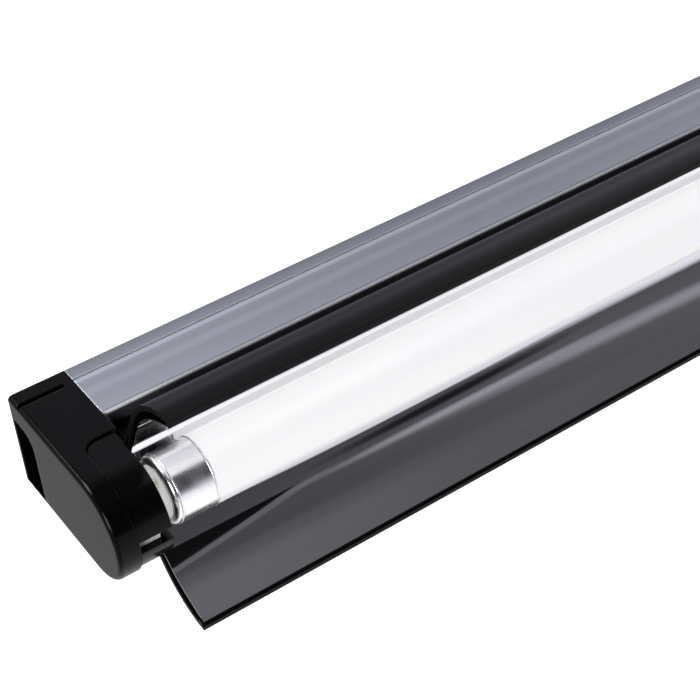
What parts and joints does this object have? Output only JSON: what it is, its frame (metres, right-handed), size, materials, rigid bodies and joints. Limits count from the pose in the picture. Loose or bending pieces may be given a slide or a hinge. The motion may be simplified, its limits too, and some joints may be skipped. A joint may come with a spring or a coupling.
{
  "type": "fluorescent batten light",
  "caption": "Slim batten light: extruded housing, black end caps with lampholders, tubular lamp and a clip-on mirror reflector whose wings flare out on both sides.",
  "frame": {"origin": "centre of the housing's back face, which lies against the wall, shelf or ceiling", "axes": "+X along the lamp towards the right end, +Y out of the back face towards what carries it (the lamp looks towards -Y), +Z across the housing, up when it hangs on a wall"},
  "size_m": [0.581, 0.046, 0.0604],
  "materials": {
    "anodised_aluminium": "satin anodised, fine lengthwise lines",
    "end_cap_plastic": "glossy black moulding",
    "lampholder_plastic": "glossy black moulding",
    "rotor_plastic": "satin pale grey",
    "contact_metal": "bright spring bronze",
    "reflector_plastic": "glossy black extrusion",
    "mirror_film": "polished mirror film",
    "lamp_glass": "glass with a white coating inside",
    "lamp_cap_metal": "bright pressed aluminium",
    "lamp_disc": "white moulded insulation",
    "lamp_pin_metal": "tinned brass",
    "stem_glass": "clear glass",
    "cathode_wire": "plain wire",
    "socket_plastic": "satin black",
    "plug_metal": "bright brass",
    "board": "bare paper laminate",
    "insulating_film": "thin film",
    "ferrite": "matte ferrite",
    "capacitor_sleeve": "shrunk sleeve",
    "film_capacitor": "dipped resin",
    "transistor": "moulded resin",
    "fuse_glass": "clear glass with metal ends",
    "terminal_plastic": "white moulding",
    "mains_wire": "soft brown insulation",
    "link_wire": "soft blue insulation",
    "lamp_wire": "soft white insulation"
  },
  "bodies": {
    "fixture": {"housing_profile": "anodised_aluminium", "end_cap_left": "end_cap_plastic", "end_cap_right": "end_cap_plastic", "lampholder_left": "lampholder_plastic", "lampholder_right": "lampholder_plastic", "holder_contacts_left": "contact_metal", "holder_contacts_right": "contact_metal", "reflector_body": "reflector_plastic", "reflector_mirror": "mirror_film", "inlet_socket": "socket_plastic", "inlet_pins": "plug_metal", "outlet_socket": "socket_plastic", "outlet_contacts": "plug_metal", "ballast_board": "board", "ballast_insulator": "insulating_film", "mains_filter_choke": "ferrite", "bulk_capacitor": "capacitor_sleeve", "film_capacitors": "film_capacitor", "lamp_choke": "ferrite", "switching_transistors": "transistor", "drive_toroid": "ferrite", "fuse": "fuse_glass", "terminal_blocks": "terminal_plastic", "mains_wires": "mains_wire", "link_wires": "link_wire", "lamp_wires_left": "lamp_wire", "lamp_wires_right": "lamp_wire"},
    "lamp": {"lamp_tube": "lamp_glass", "lamp_cap_left": "lamp_cap_metal", "lamp_cap_right": "lamp_cap_metal", "lamp_insulator_left": "lamp_disc", "lamp_insulator_right": "lamp_disc", "lamp_pins_left": "lamp_pin_metal", "lamp_pins_right": "lamp_pin_metal", "lamp_stem_left": "stem_glass", "lamp_stem_right": "stem_glass", "cathode_left": "cathode_wire", "cathode_right": "cathode_wire"},
    "rotor_left": {"rotor_left": "rotor_plastic"},
    "rotor_right": {"rotor_right": "rotor_plastic"}
  },
  "joints": [
    {"name": "lamp_turn", "type": "hinge", "parent": "fixture", "child": "lamp", "pos_m": [0, -0.0322, 0], "axis": [1, 0, 0], "range_deg": [0, 90]},
    {"name": "rotor_left_turn", "type": "hinge", "parent": "fixture", "child": "rotor_left", "pos_m": [-0.2798, -0.0322, 0], "axis": [1, 0, 0], "range_deg": [0, 90]},
    {"name": "rotor_right_turn", "type": "hinge", "parent": "fixture", "child": "rotor_right", "pos_m": [0.2798, -0.0322, 0], "axis": [1, 0, 0], "range_deg": [0, 90]}
  ],
  "couplings": [
    {"joint": "rotor_left_turn", "follows": "lamp_turn", "ratio": 1},
    {"joint": "rotor_right_turn", "follows": "lamp_turn", "ratio": 1}
  ]
}
